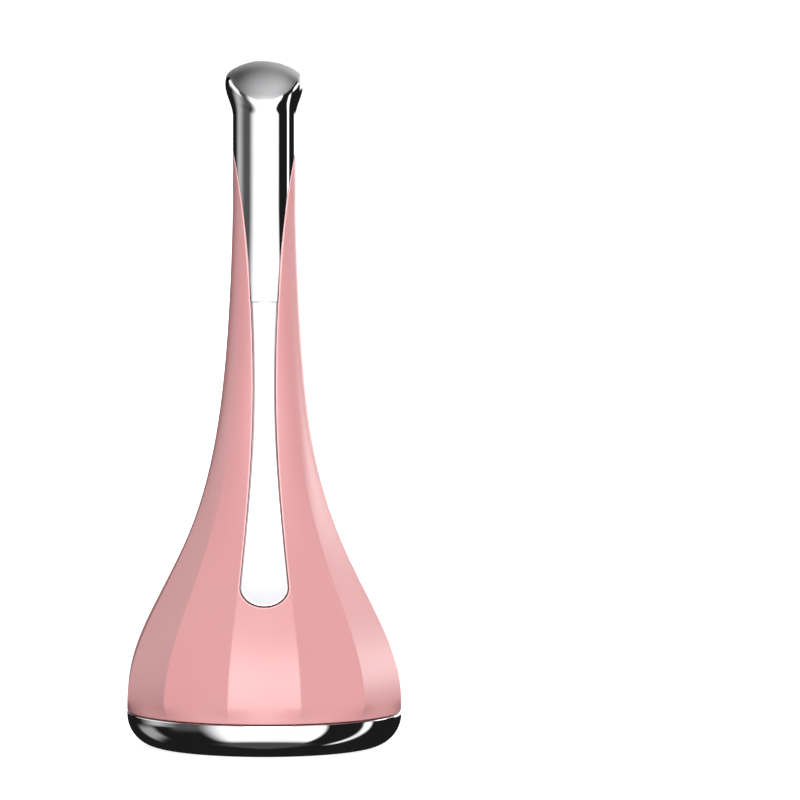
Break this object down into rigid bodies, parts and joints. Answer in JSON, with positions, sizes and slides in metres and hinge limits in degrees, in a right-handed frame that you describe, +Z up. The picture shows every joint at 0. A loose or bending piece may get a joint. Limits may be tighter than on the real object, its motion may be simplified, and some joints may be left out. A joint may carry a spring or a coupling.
{
  "type": "cold compress device",
  "caption": "Handheld cold compress wand: faceted pink bell housing, chrome neck with a tilted domed tip, long chrome front key and a round chrome cold plate it stands on.",
  "frame": {"origin": "middle of the round flat underside of the cold plate", "axes": "+Z up the neck, -Y towards the front with the long key, +X to the viewer's right from the front"},
  "size_m": [0.06, 0.06, 0.1497],
  "materials": {
    "pink_shell": "satin",
    "chrome": "polished",
    "steel": "satin",
    "rubber": "matt",
    "black_frame": "matt",
    "thermal_pad": "matt",
    "ceramic": "matt",
    "copper": "satin",
    "foam": "matt",
    "aluminium": "satin",
    "cell_sleeve": "satin",
    "motor_can": "satin",
    "board": "satin",
    "amber_film": "satin",
    "red_wire": "satin",
    "black_wire": "satin"
  },
  "bodies": {
    "device": {"base_carrier": "black_frame", "battery_cell": "cell_sleeve", "bell_housing": "pink_shell", "carrier_screw_1": "steel", "carrier_screw_2": "steel", "carrier_screw_3": "steel", "carrier_screw_4": "steel", "cell_lead_black": "black_wire", "cell_lead_red": "red_wire", "cell_tab_bottom": "steel", "cell_tab_top": "steel", "charge_board": "board", "charge_board_screw_1": "steel", "charge_board_screw_2": "steel", "charge_lead_black": "black_wire", "charge_lead_red": "red_wire", "cold_plate": "chrome", "cooler_lead_black": "black_wire", "cooler_lead_red": "red_wire", "heat_sink": "aluminium", "heat_sink_screw_1": "steel", "heat_sink_screw_2": "steel", "heat_sink_screw_3": "steel", "heat_sink_screw_4": "steel", "insulation_foam": "foam", "key_board": "board", "key_board_screw_1": "steel", "key_board_screw_2": "steel", "key_pivot_pin": "steel", "key_ribbon": "amber_film", "main_board": "board", "main_board_screw_1": "steel", "main_board_screw_2": "steel", "motor_boot": "rubber", "motor_lead_black": "black_wire", "motor_lead_red": "red_wire", "neck_head": "chrome", "plate_seal": "rubber", "spine_front": "black_frame", "spine_rear": "black_frame", "spine_screw_1": "steel", "spine_screw_2": "steel", "spine_screw_3": "steel", "spine_screw_4": "steel", "switch_body": "black_frame", "tec_cold_ceramic": "ceramic", "tec_core": "copper", "tec_hot_ceramic": "ceramic", "thermal_pad_cold": "thermal_pad", "thermal_pad_hot": "thermal_pad", "tip_screw": "steel", "usb_socket": "steel", "vibration_motor": "motor_can"},
    "key": {"front_key": "chrome"},
    "switch_button": {"switch_plunger": "rubber"},
    "rotor": {"motor_shaft": "steel", "eccentric_weight": "copper"}
  },
  "joints": [
    {"name": "key_press", "type": "hinge", "parent": "device", "child": "key", "pos_m": [0, -0.00461, 0.092], "axis": [1, 0, 0], "range_deg": [0, 0.7], "stiffness_Nm_per_rad": 6},
    {"name": "switch_press", "type": "slide", "parent": "device", "child": "switch_button", "axis": [0, 1, 0], "range_m": [0, 0.0007]},
    {"name": "rotor_spin", "type": "hinge", "parent": "device", "child": "rotor", "pos_m": [0, 0, 0.12], "axis": [0, 0, 1], "continuous": true}
  ],
  "couplings": [
    {"joint": "switch_press", "follows": "key_press", "m_per_rad": 0.05}
  ]
}
